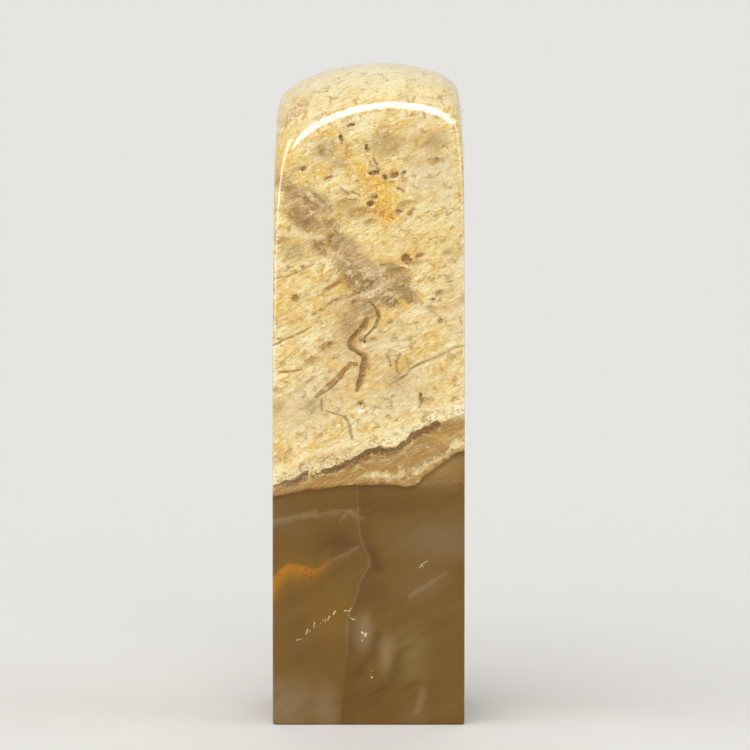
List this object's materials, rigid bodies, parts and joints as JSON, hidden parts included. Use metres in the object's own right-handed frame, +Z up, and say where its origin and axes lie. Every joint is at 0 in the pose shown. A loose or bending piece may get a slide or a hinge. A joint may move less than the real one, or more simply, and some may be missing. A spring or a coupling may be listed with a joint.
{
  "type": "seal stamp",
  "caption": "Tall square seal stone with flat polished walls, rounded shoulders and an arched top, standing on its blank flat seal face.",
  "frame": {"origin": "middle of the flat seal face at the bottom of the stone", "axes": "+Z up from the seal face to the arched top, front wall towards -Y, right wall towards +X"},
  "size_m": [0.025, 0.025, 0.0857],
  "materials": {
    "polished_stone": "waxed polish, cream above and translucent brown below"
  },
  "bodies": {
    "root": {"seal_stone": "polished_stone"}
  },
  "joints": []
}
